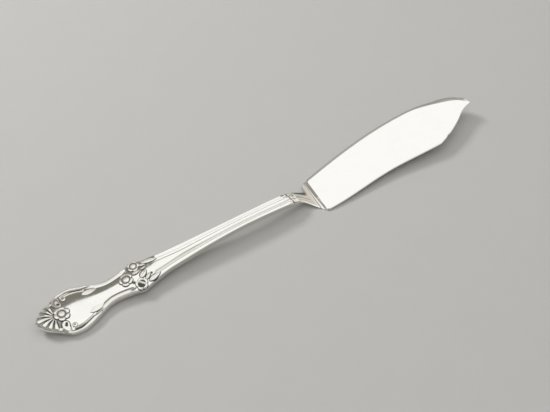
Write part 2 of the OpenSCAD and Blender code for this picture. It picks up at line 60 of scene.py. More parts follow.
bladeSize = dict(
    neckLength=8.5, neckReach=2.4, throatReach=2.0, shoulderReach=5.6,
    flareAt=100.5, throatAt=104.0, shoulderAt=105.6, neckHollow=0.25, neckRim=0.5, neckRimFall=0.2,
    straightFall=0.9, heelStep=0.7, leastTall=0.15, solderFilm=0.05,
    length=71.5, spineThickness=1.6, edgeThickness=0.9, edgeCut=0.24, cornerCut=0.1,
    spineBevel=1.0, tipBevel=1.3, tipBevelFrom=7.0, tipBevelReach=16.0, bevelFall=0.45, bevelRunOut=2.5,
    heelBevel=1.2, heelTaper=0.75, heelSlant=0.2, slantFade=24.0, tipRise=6.0, heelReach=6.2,
    cornerRise=0.4, cornerLength=0.9, spineReach=12.395, crestFromHeel=45.0, tipPower=0.36,
    heelDrop=8.59, heelDropAt=1.4, edgeDrop=6.6, edgeMiddleAt=31.5, bellyDrop=7.1,
    endLength=20.0, tipReach=2.15, endBulge=0.52, endTurn=0.6, tipHollow=1.4,
    endNick=0.45, nickAt=0.22, nickHalf=0.08, tipBlunt=0.9995,
)
h = handleSize  # short names, because the two are used so often
b = bladeSize
heelAt = h["length"] + b["neckLength"]
overall = heelAt + b["length"]
bevelFrom = heelAt - b["heelBevel"]
riseSlope = b["tipRise"] / (overall - bevelFrom)
middleY = 1.9  # the frame's origin lies this far from the stem's middle, towards the spine


# Cubic curve through (place, value) points; the slope at each is the harmonic mean of the slopes beside it
def smoothCurve(keys, x):
    place, value = np.array(keys, float).T
    step = np.diff(place)
    grade = np.diff(value) / step
    product = grade[:-1] * grade[1:]
    slope = np.zeros(len(place))
    slope[1:-1] = np.where(product > 0, 2 * product / np.where(product > 0, grade[:-1] + grade[1:], 1), 0)
    x = np.clip(x, place[0], place[-1])
    i = np.clip(np.searchsorted(place, x, side="right") - 1, 0, len(step) - 1)
    t = (x - place[i]) / step[i]
    ends = value[i] * (1 + 2 * t) * (1 - t) ** 2 + value[i + 1] * t * t * (3 - 2 * t)
    return ends + step[i] * (slope[i] * t * (1 - t) ** 2 + slope[i + 1] * t * t * (t - 1))


# Rounded hump between -1 and 1, soft step from 0 to 1, and quarter circle from 0 to 1
def hump(x):
    return np.where(np.abs(x) < 1, 0.5 + 0.5 * np.cos(np.pi * np.clip(x, -1, 1)), 0)


def ramp(x):
    t = np.clip(x, 0, 1)
    return t * t * (3 - 2 * t)


def quarterRound(x):
    return np.sqrt(1 - (1 - np.clip(x, 0, 1)) ** 2)


# Greatest of several arrays, place by place
def greatest(values):
    return np.maximum.reduce(np.broadcast_arrays(*values))


# Half the handle's width: a sine for the end, hollowed beside the shell, then a smooth curve over waist,
# bulge and stem, swollen at the roses
def halfWidth(s):
    t = np.clip(s / h["endAt"], 0, 1)
    hollow = h["shellHollow"] * hump((s - h["shellHollowAt"]) / h["shellHollowLength"])
    end = np.maximum(h["tipHalf"], h["endWidth"] / 2 * np.sin(np.pi / 2 * t ** h["endPower"]) - hollow)
    keys = [
        (h["endAt"], h["endWidth"] / 2), (h["waistAt"], h["waistWidth"] / 2),
        (h["bulgeAt"], h["bulgeWidth"] / 2), (h["rootAt"], h["rootWidth"] / 2),
        (h["stemAt"], h["stemWidth"] / 2), (h["length"], h["stemEndWidth"] / 2),
    ]
    rest = smoothCurve(keys, s) + h["roseSwell"] * hump((s - h["bulgeAt"]) / h["roseReach"])
    return np.where(s < h["endAt"], end, rest)


# Height of the underside: a smooth curve from the lifted end to where it rests, over the arch, to the heel
def underside(s):
    return smoothCurve([
        (0, h["tipLift"]), (h["restAt"], 0), (h["bulgeAt"], h["bulgeRise"]),
        (h["stemAt"], h["archHeight"]), (h["length"], h["stemEndRise"]), (bevelFrom, 0),
    ], s)


# Thickness of the handle: a smooth curve that grows from the end to the stem
def thickness(s):
    return smoothCurve([
        (0, h["tipThickness"]), (h["endAt"], h["endThickness"]), (h["bulgeAt"], h["bulgeThickness"]),
        (h["stemAt"], h["stemThickness"]), (h["length"], h["stemThickness"]),
    ], s)


# Border along the stem: where it shows, and its rim, groove and centre band as shares of the way
# from the edge to the middle
borderSize = dict(
    relief=0.22, startAt=40.5, rise=3.0, endAt=97.4, sink=1.5, rootShare=0.8, fullFrom=45.0, fullRise=10.0,
    rimTo=0.36, rimFall=0.14, groove=0.35, grooveAt=0.7, grooveHalf=0.1, centre=1.4, centreRise=0.14,
    rimLineAt=0.47, rimLineDark=0.2, grooveLineAt=0.71, grooveLineDark=0.3, lineHalf=0.1,
)


# Height across the border, in units of its relief: the rim falls, a groove is cut, the centre band rises
def borderHeight(share):
    size = borderSize
    rim = 1 - ramp((share - size["rimTo"]) / size["rimFall"])
    groove = size["groove"] * hump((share - size["grooveAt"]) / size["grooveHalf"])
    return rim - groove + size["centre"] * ramp((share - size["grooveAt"]) / size["centreRise"])


# Dark of two fine lines across the border, beside the rim and in the groove: oxide and painted shade
def borderDark(share):
    size = borderSize
    return greatest([size["rimLineDark"] * hump((share - size["rimLineAt"]) / size["lineHalf"]),
                     size["grooveLineDark"] * hump((share - size["grooveLineAt"]) / size["lineHalf"])])


# Part of the half width that the border takes: less at the stem's root, then all of it
def borderNarrow(s):
    least = borderSize["rootShare"]
    return least + (1 - least) * ramp((s - borderSize["fullFrom"]) / borderSize["fullRise"])


# Share of the way across the border at a distance d from the edge
def borderShare(s, d):
    return d / halfWidth(s) / borderNarrow(s)


# How far the border shows: a soft step in at the stem's root and out at the collar
def borderShows(s):
    size = borderSize
    return ramp((s - size["startAt"]) / size["rise"]) * ramp((size["endAt"] - s) / size["sink"])


# Handle's upper face: underside plus thickness, a crown across that is level along the stem, rounded edges
# and the stem's border, falling a little at the stem's end
def handleTop(s, y):
    w = halfWidth(s)
    d = np.maximum(0, w - np.abs(y))
    flat = ramp((s - h["levelFrom"]) / h["levelRise"]) * ramp((h["levelTo"] - s) / h["levelSink"])
    arch = 1 - np.minimum(1, np.abs(y) / w) ** 2
    crown = h["panelCrown"] * (arch + flat * (h["levelHeight"] - arch))
    edgeRound = h["edgeRound"] * (1 - h["levelEdge"] * flat)
    fall = edgeRound * (1 - quarterRound(d / edgeRound))
    reeds = borderSize["relief"] * borderShows(s) * borderHeight(borderShare(s, d))
    drop = h["endFall"] * ramp((s - h["endFallFrom"]) / (h["length"] - h["endFallFrom"]))
    return underside(s) + thickness(s) + crown - fall + reeds - drop


# Points of the knife in the shared frame: less half the length and the middle across, in metres
def placed(s, y, z):
    return np.stack(np.broadcast_arrays(s - overall / 2, y - middleY, z), -1) / 1000


sharpAngle = np.radians(38)  # edges that turn further than this stay sharp


# Mesh from points and faces, turned outwards by the sign of its volume, with a recess value on each point
# that darkens it with oxide and painted shade
def makePiece(name, node, points, quads, triangles, recess, material):
    fans = np.concatenate([quads[:, [0, 1, 2]], quads[:, [0, 2, 3]], triangles])
    a, c, e = (points[fans[:, k]] for k in range(3))
    if np.einsum("ij,ij->", a, np.cross(c, e)) < 0:
        quads = quads[:, ::-1]
        triangles = triangles[:, ::-1]
    mesh = bpy.data.meshes.new(name)
    mesh.from_pydata(points.tolist(), [], quads.tolist() + triangles.tolist())
    mesh.polygons.foreach_set("use_smooth", np.ones(len(mesh.polygons), bool))
    layer = mesh.attributes.new("recess", "FLOAT", "POINT")
    layer.data.foreach_set("value", np.clip(recess, 0, 1).astype(np.float32))
    mesh.set_sharp_from_angle(angle=sharpAngle)
    mesh.materials.append(material)
    mesh.update()
    piece = bpy.data.objects.new(name, mesh)
    bpy.context.scene.collection.objects.link(piece)
    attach(piece, "root")
    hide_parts(node)
    return piece


# Quads between neighbouring rows and columns of a grid
def gridQuads(rows, columns, wrap):
    i = np.arange(rows - 1)[:, None]
    j = np.arange(columns if wrap else columns - 1)[None, :]
    k = (j + 1) % columns
    return np.stack(np.broadcast_arrays(
        i * columns + j, i * columns + k, (i + 1) * columns + k, (i + 1) * columns + j), -1).reshape(-1, 4)


endRecess = 0.5  # dark at the middle of a loft's two ends


# Solid through equal rings, closed at both ends by fans round a middle point
def loftPiece(name, node, rings, recess, material):
    n, m = rings.shape[:2]
    points = np.concatenate([rings.reshape(-1, 3), rings[:1].mean(1), rings[-1:].mean(1)])
    j = np.arange(m)
    k = (j + 1) % m
    first = np.stack([np.full(m, n * m), k, j], -1)
    last = np.stack([np.full(m, n * m + 1), (n - 1) * m + j, (n - 1) * m + k], -1)
    value = np.concatenate([recess.ravel(), [endRecess, endRecess]])
    return makePiece(name, node, points, gridQuads(n, m, True), np.concatenate([first, last]), value,
                     material)


# Ornaments: how far they are let into the handle's face, and how far most of them stand up at the rim
reliefSize = dict(letIn=0.04, rimTall=0.04)


# Patch of an ornament: its top stands its height above the handle's face, its underside is let in,
# and walls join the two round the rim
def patchShell(s, y, height, recess, wrap):
    s, y, height, recess = np.broadcast_arrays(s, y, height, recess)
    rows, columns = s.shape
    seat = handleTop(s, y)
    points = np.concatenate([placed(s, y, seat + height).reshape(-1, 3),
                             placed(s, y, seat - reliefSize["letIn"]).reshape(-1, 3)])
    half = rows * columns
    number = np.arange(half).reshape(rows, columns)
    if wrap:
        rims = [number[0], number[-1][::-1]]
    else:
        rims = [np.concatenate([number[0, :-1], number[:-1, -1], number[-1, :0:-1], number[:0:-1, 0]])]
    walls = [np.stack([np.roll(r, -1), r, r + half, np.roll(r, -1) + half], -1) for r in rims]
    top = gridQuads(rows, columns, wrap)
    quads = np.concatenate([top, top[:, ::-1] + half] + walls)
    a, c, e = (points[quads[:, k]] for k in (0, 1, 2))
    if np.cross(c - a, e - a)[:len(top), 2].sum() < 0:
        quads = quads[:, ::-1]
    # the underside and the walls down to it are wholly dark: oxide and painted shade at the ornament's foot
    return points, quads, np.concatenate([recess.ravel(), np.ones(half)])


# Ornament of one or more patches in one mesh; each patch's points are numbered after those before it
def reliefPiece(name, patches, material):
    points = np.zeros((0, 3))
    quads = np.zeros((0, 4), int)
    recess = np.zeros(0)
    for patch in patches:
        morePoints, moreQuads, moreRecess = patchShell(*patch)
        quads = np.concatenate([quads, moreQuads + len(points)])
        points = np.concatenate([points, morePoints])
        recess = np.concatenate([recess, moreRecess])
    return makePiece(name, name, points, quads, np.zeros((0, 3), int), recess, material)


# One shader socket; sums, products and shares of it add Math nodes
class Wire:
    def __init__(self, finish, socket):
        self.finish = finish
        self.socket = socket

    def math(self, operation, first, second=0.0):
        return self.finish.node("ShaderNodeMath", {"operation": operation}, {0: first, 1: second})

    def __add__(self, other):
        return self.math("ADD", self, other)

    def __radd__(self, other):
        return self.math("ADD", other, self)

    def __sub__(self, other):
        return self.math("SUBTRACT", self, other)

    def __rsub__(self, other):
        return self.math("SUBTRACT", other, self)

    def __mul__(self, other):
        return self.math("MULTIPLY", self, other)

    def __rmul__(self, other):
        return self.math("MULTIPLY", other, self)

    def __truediv__(self, other):
        return self.math("DIVIDE", self, other)

    def __rtruediv__(self, other):
        return self.math("DIVIDE", other, self)

    # soft step from 0 at low to 1 at high
    def between(self, low, high):
        return self.finish.node("ShaderNodeMapRange", {"interpolation_type": "SMOOTHSTEP", "clamp": True},
                                {"Value": self, "From Min": low, "From Max": high})


# Nodes of one material, or of the tree that is given
class Finish:
    def __init__(self, name, tree=None):
        if tree is None:
            self.material = bpy.data.materials.new(name)
            self.material.use_nodes = True
            tree = self.material.node_tree
        self.tree = tree
        tree.nodes.clear()

    # any node: its type, its settings, the values or links of its sockets, and the output that is used
    def node(self, kind, settings, sockets, out=0):
        made = self.tree.nodes.new(kind)
        for key, value in settings.items():
            setattr(made, key, value)
        for key, value in sockets.items():
            if isinstance(value, Wire):
                self.tree.links.new(value.socket, made.inputs[key])
            else:
                made.inputs[key].default_value = value
        return Wire(self, made.outputs[out]) if made.outputs else made

    # colour that goes from the first to the second with the share
    def mixColour(self, share, first, second):
        return self.node("ShaderNodeMix", {"data_type": "RGBA"}, {0: share, 6: first, 7: second}, 2)

    # object coordinates times the scale of each axis
    def stretched(self, scale):
        place = self.node("ShaderNodeTexCoord", {}, {}, "Object")
        return self.node("ShaderNodeMapping", {}, {"Vector": place, "Scale": scale})

    # noise whose grains are about a metre divided by the scale, along each axis
    def noise(self, scale):
        return self.node("ShaderNodeTexNoise", {}, {
            "Vector": self.stretched(scale), "Scale": 1.0, "Detail": 3.0, "Roughness": 0.55}, "Fac")


# Silver: colours of the bright metal and its tarnish, roughness, what scratches add to it, and how far
# the tarnish shows
silverLooks = dict(
    mirror=dict(bright=(0.95, 0.94, 0.92, 1), tarnish=(0.9, 0.87, 0.81, 1),
                rough=0.045, scratch=0.03, cloud=0.25),
    polished=dict(bright=(0.94, 0.93, 0.9, 1), tarnish=(0.86, 0.83, 0.76, 1),
                  rough=0.08, scratch=0.05, cloud=0.4),
    relief=dict(bright=(0.94, 0.925, 0.89, 1), tarnish=(0.86, 0.82, 0.74, 1),
                rough=0.2, scratch=0.04, cloud=0.5),
)
# what the three share: the dark colour that oxide and painted shade give the recesses, and the scale and
# limits of each noise
silverSkin = dict(
    oxideAndShadeColour=(0.085, 0.088, 0.075, 1), oxideAndShadeFrom=0.12, oxideAndShadeTo=0.8, oxideAndShadeRough=0.34, oxideAndShadeDull=0.45,
    hairs=(150, 9000, 9000), hairsFrom=0.58, hairsTo=0.74,
    turned=(9000, 300, 9000), turnedFrom=0.6, turnedTo=0.76, turnedShare=0.6,
    clouds=(160, 160, 160), cloudsFrom=0.42, cloudsTo=0.72, cloudsShare=0.6, cloudsRough=0.03,
    streaks=(14, 1100, 1100), streaksFrom=0.3, streaksTo=0.7, streaksShare=0.4,
    grain=(500, 2600, 2600), grainShare=0.3, bump=0.12, bumpDeep=0.00001,
)


# Silver: bright metal with hairline scratches, soft clouds of tarnish, and recesses darkened with oxide and
# painted shade
def silver(name, look):
    f = Finish(name)
    skin = silverSkin
    recess = f.node("ShaderNodeAttribute", {"attribute_name": "recess"}, {}, "Fac")
    hairs = f.noise(skin["hairs"]).between(skin["hairsFrom"], skin["hairsTo"])
    hairsTurned = f.noise(skin["turned"]).between(skin["turnedFrom"], skin["turnedTo"])
    clouds = f.noise(skin["clouds"]).between(skin["cloudsFrom"], skin["cloudsTo"])
    grain = f.noise(skin["grain"])
    # the recess value, a little grained, mixes in the dark colour and roughens and dulls the metal: oxide in
    # the hollows, and painted shade there and wherever else the pieces carry it
    oxideAndShade = (recess + (grain - 0.5) * skin["grainShare"] * recess).between(skin["oxideAndShadeFrom"], skin["oxideAndShadeTo"])
    streaks = f.noise(skin["streaks"]).between(skin["streaksFrom"], skin["streaksTo"])
    tarnished = (clouds * skin["cloudsShare"] + streaks * skin["streaksShare"]) * look["cloud"]
    colour = f.mixColour(oxideAndShade, f.mixColour(tarnished, look["bright"], look["tarnish"]), skin["oxideAndShadeColour"])
    lines = hairs + hairsTurned * skin["turnedShare"]
    roughness = (look["rough"] + lines * look["scratch"] + clouds * skin["cloudsRough"]
                 + oxideAndShade * skin["oxideAndShadeRough"])
    bump = f.node("ShaderNodeBump", {}, {
        "Strength": skin["bump"], "Distance": skin["bumpDeep"], "Height": lines * -1.0})
    shader = f.node("ShaderNodeBsdfPrincipled", {}, {
        "Base Color": colour, "Metallic": 1 - oxideAndShade * skin["oxideAndShadeDull"], "Roughness": roughness,
        "Normal": bump})
    f.node("ShaderNodeOutputMaterial", {}, {"Surface": shader})
    return f.material


mirrorSilver = silver("mirror silver", silverLooks["mirror"])
polishedSilver = silver("polished silver", silverLooks["polished"])
reliefSilver = silver("relief silver", silverLooks["relief"])


# Solder: scale of its grain, its two greys and its roughness
solderLook = dict(grain=(900, 900, 900), dark=(0.5, 0.5, 0.48, 1), pale=(0.7, 0.69, 0.66, 1),
                  rough=0.35, grainRough=0.2)


# Solder: dull metal; a noise takes its colour from the dark to the pale grey and roughens it
def solder():
    f = Finish("silver solder")
    grain = f.noise(solderLook["grain"])
    colour = f.mixColour(grain, solderLook["dark"], solderLook["pale"])
    shader = f.node("ShaderNodeBsdfPrincipled", {}, {
        "Base Color": colour, "Metallic": 1.0,
        "Roughness": solderLook["rough"] + grain * solderLook["grainRough"]})
    f.node("ShaderNodeOutputMaterial", {}, {"Surface": shader})
    return f.material


solderNode = frame["nodes"]["tang_solder"]
solderNode.data.materials.clear()
solderNode.data.materials.append(solder())
print("finishes made")

# Rosette and roses: place, radius, heart, petals, height, how far the heart is cupped, turn in radians,
# and the slope that levels the flower on the crowned face
flowerSizes = dict(
    end_rosette=dict(s=8.95, y=0.15, radius=2.75, heart=0.4, petals=6, tall=0.85,
                     cup=0.0, turn=0.26, level=0.0),
    rose_centre=dict(s=32.6, y=0.4, radius=2.5, heart=0.46, petals=5, tall=0.75,
                     cup=0.0, turn=0.5, level=0.0),
    rose_left=dict(s=36.8, y=3.8, radius=2.15, heart=0.46, petals=5, tall=0.75,
                   cup=0.0, turn=1.1, level=0.13),
    rose_right=dict(s=36.7, y=-3.8, radius=2.15, heart=0.46, petals=5, tall=0.75,
                    cup=0.8, turn=0.2, level=0.0),
)
# shares of a flower's height and radius, and the dark of its ring, gaps, cup and rim, oxide and painted shade
flowerShape = dict(
    base=0.36, heartTall=0.48, petalTall=0.4, rimTall=0.06, petalFrom=0.15, notch=0.18,
    ring=0.08, ringHalf=0.12, ridgeTurn=0.75, ridgeOff=0.2, ridgeHalf=0.34,
    ringDark=0.9, gapDark=0.6, cupDark=1.1, rimDark=0.9,
)


# Outline of a flower: its radius, cut back between the petals by the absolute cosine of the petal angle
def flowerReach(size, angle):
    lobe = np.abs(np.cos(size["petals"] * (angle - size["turn"]) / 2))
    return size["radius"] * (1 - flowerShape["notch"] * (1 - lobe) ** 1.6), lobe


# Flower: in polar places round its middle, a flat-topped or cupped heart, a dark ring, and plump petals
# that fall to the edge; the cup holds one slanting ridge
def flowerPatch(size):
    shape = flowerShape
    u = np.linspace(0.004, 1, 60)[:, None]
    angle = np.linspace(0, 2 * np.pi, 200, endpoint=False)[None, :]
    reach, lobe = flowerReach(size, angle)
    r = u * reach
    inner = r / size["radius"]
    dome = np.clip(1 - (inner / size["heart"]) ** 6, 0, 1) ** 0.5
    ridge = hump((inner * np.cos(angle - shape["ridgeTurn"]) - shape["ridgeOff"]) / shape["ridgeHalf"])
    inside = 1 - ramp((inner - size["heart"] - 0.1) / 0.1)
    core = (1 - size["cup"]) * dome * (inner < size["heart"]) + size["cup"] * inside * ridge
    petalFrom = size["heart"] + shape["petalFrom"]
    q = np.clip((inner - petalFrom) / (reach / size["radius"] - petalFrom), 0, 1)
    petal = np.sin(np.pi * (0.2 + 0.6 * q)) ** 0.4 * (0.7 + 0.3 * lobe ** 0.6) * ramp(q / 0.14)
    body = shape["base"] + greatest([shape["heartTall"] * core, shape["petalTall"] * petal])
    height = size["tall"] * body + size["level"] * r * np.sin(angle)
    height = np.maximum(shape["rimTall"], height * (1 - 0.92 * ramp((u - 0.95) / 0.05)))
    # dark of the ring, the gaps between petals, the cup and the rim: oxide and painted shade
    ring = hump((inner - size["heart"] - shape["ring"]) / shape["ringHalf"]) * (1 - size["cup"])
    between = (1 - ramp(lobe / 0.4)) * ramp((inner - petalFrom) / 0.1)
    hollow = size["cup"] * inside * (1 - ridge)
    recess = greatest([shape["ringDark"] * ring, shape["gapDark"] * between, shape["cupDark"] * hollow,
                       shape["rimDark"] * ramp((u - 0.94) / 0.06)])
    return size["s"] + r * np.cos(angle), size["y"] + r * np.sin(angle), height, recess, True


for flowerName, flowerSize in flowerSizes.items():
    reliefPiece(flowerName, [flowerPatch(flowerSize)], reliefSilver)
print("rosette and roses made")

# Small beads beside the shell and at the curls: a flat-topped dome with a rim darkened by oxide and painted
# shade, and in some a painted shade of a hole at the middle, which the dome doesn't have
beadSizes = dict(
    shell=dict(s=6.6, y=5.1, radius=0.7, tall=0.4, rimDark=0.9, holeDark=0.0),
    curl=dict(s=11.35, y=5.35, radius=0.92, tall=0.42, rimDark=0.9, holeDark=0.8),
)


# Bead: in polar places round its middle, the height is one less the fourth power of the radius, softened
def beadPatch(size, side):
    u = np.linspace(0.01, 1, 16)[:, None]
    angle = np.linspace(0, 2 * np.pi, 48, endpoint=False)[None, :]
    r = u * size["radius"]
    height = reliefSize["rimTall"] + size["tall"] * (1 - u ** 4) ** 0.8
    recess = greatest([size["rimDark"] * ramp((u - 0.82) / 0.18),
                       size["holeDark"] * (1 - ramp((u - 0.2) / 0.25))])
    return (size["s"] + r * np.cos(angle), side * size["y"] + r * np.sin(angle),
            height + 0 * angle, recess + 0 * angle, True)


# Shell: ribs that fan from the rosette to the handle's edge; the spread is to each side of the middle
shellSize = dict(s=6.8, ribs=7, spread=np.radians(88), inset=0.12, scallop=0.35, tall=0.75, rimTall=0.05,
                 valleyTall=0.15, valleyDark=0.85, valleyFade=0.35, rootDark=0.85, farthest=14.0)


# Distance from the fan's centre to the handle's outline, found by halving
def edgeReach(angle):
    near = np.zeros_like(angle)
    far = np.full_like(angle, shellSize["farthest"])
    for _ in range(30):
        r = (near + far) / 2
        s = shellSize["s"] + r * np.cos(angle)
        inside = (s > 0) & (np.abs(r * np.sin(angle)) < halfWidth(s))
        near = np.where(inside, r, near)
        far = np.where(inside, far, r)
    return (near + far) / 2


# Shell: in polar places round the fan's centre, from the rosette to the edge; the absolute cosine gives
# rounded ribs with valleys between them; the valleys, the root by the rosette and the two sides are darkened
# with oxide and painted shade
def shellPatch():
    size = shellSize
    u = np.linspace(0, 1, 70)[:, None]
    v = np.linspace(0, 1, 280)[None, :]
    angle = np.pi + size["spread"] * (2 * v - 1)
    wave = np.abs(np.cos(np.pi * size["ribs"] * (v - 0.5)))
    rose = flowerSizes["end_rosette"]
    away = rose["s"] - size["s"]
    inner = away * np.cos(angle) + np.sqrt(rose["radius"] ** 2 - (away * np.sin(angle)) ** 2)
    outer = edgeReach(angle) - size["inset"] - size["scallop"] * (1 - wave) ** 2
    r = inner + (outer - inner) * u
    swell = (0.3 + 0.7 * ramp(u / 0.55)) * (1 - ramp((u - 0.84) / 0.16) * 0.8)
    rib = size["valleyTall"] + (1 - size["valleyTall"]) * ramp((wave - 0.2) / 0.65)
    height = size["rimTall"] + (size["tall"] - size["rimTall"]) * swell * rib
    sides = 1 - ramp(np.minimum(v, 1 - v) / 0.02)
    valley = (1 - ramp((wave - 0.45) / 0.3)) * (size["valleyDark"] - size["valleyFade"] * ramp(u))
    root = 1 - ramp(u / (0.06 + 0.18 * (1 - wave)))
    recess = greatest([valley, size["rootDark"] * root, sides])
    return size["s"] + r * np.cos(angle), r * np.sin(angle), height, recess, False


reliefPiece("end_shell", [shellPatch(), beadPatch(beadSizes["shell"], 1), beadPatch(beadSizes["shell"], -1)],
            reliefSilver)
print("shell made")


# Half width of a leaf along its length: it swells quickly from its stalk and narrows to its point
def leafHalf(size, u):
    return size["half"] * (0.04 + 0.96 * np.sin(np.pi * u ** 0.8) ** 0.8)


# Scrolls: the end scrolls run from a volute beside the rosette, the waist scrolls begin in a leaf tip.
# The volute's reach is given by the direction in degrees.
scrollSize = dict(inset=0.08, crest=0.78, innerDark=0.9, outerDark=0.2)
endScrollSize = dict(startAt=8.6, endAt=21.0, width=1.3, tall=0.5, step=0.65)
voluteSize = dict(
    s=9.05, y=4.1, tall=0.6, rimTall=0.05, eye=0.12, eyeLong=0.34, eyeTurn=2.2, eyeDark=0.8, rimDark=0.9,
    joinAt=95, joinHalf=50,
    reach=[(0, 1.0), (52, 1.4), (90, 3.3), (135, 2.5), (180, 1.95), (225, 1.75), (270, 1.55), (315, 1.2),
           (360, 1.0)],
)
waistScrollSize = dict(startAt=19.0, startInset=1.35, edgeAt=22.0, endAt=33.9, width=1.7, tall=0.42,
                       step=0.15)
waistLeafSize = dict(s=17.5, y=3.75, turn=-4, length=5.6, half=1.05, tall=0.22, rimTall=0.02, sideSlope=0.09,
                     outerDark=0.95, innerDark=0.1)


# Half width of the end scroll: less beside the curl, then full, then less towards its end
def endScrollWidth(u):
    return endScrollSize["width"] / 2 * (0.7 + 0.3 * ramp((u - 0.3) / 0.3) - 0.6 * ramp((u - 0.72) / 0.28))


# End scroll: from the volute along the edge, its own half width inside the inset
def endScrollPath(u):
    s = endScrollSize["startAt"] + (endScrollSize["endAt"] - endScrollSize["startAt"]) * u
    return s, halfWidth(s) - scrollSize["inset"] - endScrollWidth(u)


# Volute's outline: its reach from the eye in each direction
def voluteReach(angle):
    return smoothCurve(voluteSize["reach"], np.degrees(angle) % 360)


# Volute: in polar places round the eye, a level body that falls to its outline and to a long sunk eye;
# the eye and the rim, except where the scroll joins it, are darkened with oxide and painted shade
def volutePatch(side):
    size = voluteSize
    u = np.linspace(0.01, 1, 50)[:, None]
    angle = np.linspace(0, 2 * np.pi, 160, endpoint=False)[None, :]
    reach = voluteReach(angle)
    r = u * reach
    eye = size["eye"] + size["eyeLong"] * np.cos(angle - size["eyeTurn"]) ** 2
    q = np.clip((r - eye) / (reach - eye), 0, 1)
    height = size["rimTall"] + size["tall"] * ramp(q / 0.3 + 0.1) * (1 - 0.95 * ramp((u - 0.68) / 0.32))
    rim = ramp((u - 0.9) / 0.1) * (1 - hump((np.degrees(angle) - size["joinAt"]) / size["joinHalf"]))
    recess = greatest([size["eyeDark"] * (1 - ramp((r - eye) / 0.2)), size["rimDark"] * rim])
    return size["s"] + r * np.cos(angle), side * (size["y"] + r * np.sin(angle)), height, recess, True


# Half width of the waist scroll: from a point to full, then less towards its end
def waistScrollWidth(u):
    return waistScrollSize["width"] / 2 * (0.05 + 0.95 * ramp(u / 0.25) - 0.5 * ramp((u - 0.85) / 0.15))


# Waist scroll: it starts beside the leaf, swings out and follows the waist's edge
def waistScrollPath(u):
    size = waistScrollSize
    s = size["startAt"] + (size["endAt"] - size["startAt"]) * u
    edgeInset = scrollSize["inset"] + size["width"] / 2
    keys = [(size["startAt"], size["startInset"]), (size["edgeAt"], edgeInset), (size["endAt"], edgeInset)]
    return s, halfWidth(s) - smoothCurve(keys, s)


# Strip along a path: places offset along the path's normal; across, a step and a straight climb
# to its outer side
def scrollPatch(side, path, width, size):
    u = np.linspace(0, 1, 320)[:, None]
    x = np.linspace(-1, 1, 25)[None, :]
    s, y = path(u)
    ds = np.gradient(s, axis=0)
    dy = np.gradient(y, axis=0)
    long = np.hypot(ds, dy)
    half = width(u)
    low = reliefSize["rimTall"]
    crest = scrollSize["crest"]
    climb = np.clip((x + 1) / (crest + 1), 0, 1)
    inner = size["step"] * ramp(climb / 0.35) + (1 - size["step"]) * climb
    outer = (1 - np.clip((x - crest) / (1 - crest), 0, 1) ** 3) ** 0.6
    height = low + (size["tall"] - low) * inner * outer * np.minimum(1, half / 0.5)
    # inner and outer edges darkened with oxide and painted shade
    recess = greatest([scrollSize["innerDark"] * ramp((-x - 0.84) / 0.16),
                       scrollSize["outerDark"] * ramp((x - 0.86) / 0.14)])
    return s - dy / long * x * half, side * (y + ds / long * x * half), height, recess, False


# Waist leaf: a pointed oval on the panel that climbs to its outer side, darkened with oxide and painted shade
# along that side and a little along the inner one
def waistLeafPatch(side):
    size = waistLeafSize
    u = np.linspace(0, 1, 70)[:, None]
    x = np.linspace(-1, 1, 31)[None, :]
    half = leafHalf(size, u)
    turn = np.radians(size["turn"])
    arch = half / size["half"] * (x + 1) / 2 * (1 - np.clip(x, 0, 1) ** 8) ** 0.5
    height = size["rimTall"] + (size["tall"] - size["rimTall"]) * arch
    recess = greatest([size["outerDark"] * ramp((x - 0.72) / 0.28),
                       size["innerDark"] * ramp((-x - 0.9) / 0.1)])
    s = size["s"] + size["length"] * u * np.cos(turn) - x * half * np.sin(turn)
    y = size["y"] + size["length"] * u * np.sin(turn) + x * half * np.cos(turn)
    return s, side * y, height, recess, False


for sideName, side in (("left", 1), ("right", -1)):
    endPatches = [scrollPatch(side, endScrollPath, endScrollWidth, endScrollSize), volutePatch(side),
                  beadPatch(beadSizes["curl"], side)]
    reliefPiece("end_scroll_" + sideName, endPatches, reliefSilver)
    waistPatches = [scrollPatch(side, waistScrollPath, waistScrollWidth, waistScrollSize),
                    waistLeafPatch(side)]
    reliefPiece("waist_scroll_" + sideName, waistPatches, reliefSilver)
print("scrolls made")

# Leaves: where each leaflet starts, its turn in degrees, its length and half width, and for some the slope
# that levels them
leafSizes = dict(
    leaf_centre=[
        dict(s=35.1, y=1.1, turn=2, length=3.2, half=0.75),
        dict(s=37.3, y=-1.6, turn=37, length=3.6, half=1.1),
        dict(s=38.3, y=1.2, turn=10, length=2.4, half=0.5),
    ],
    leaf_left=[
        dict(s=38.3, y=3.1, turn=-18, length=2.6, half=0.55, level=0.15),
        dict(s=39.4, y=3.7, turn=-13, length=5.7, half=0.85, level=0.2),
    ],
    leaf_right=[
        dict(s=38.6, y=-3.0, turn=32, length=2.9, half=0.7),
        dict(s=39.4, y=-4.0, turn=11, length=4.8, half=0.95),
    ],
)
leafShape = dict(tall=0.5, teeth=4, toothDeep=0.1, ribSunk=0.25, veinSunk=0.06,
                 ribDark=0.35, veinDark=0.1, rimDark=0.9)


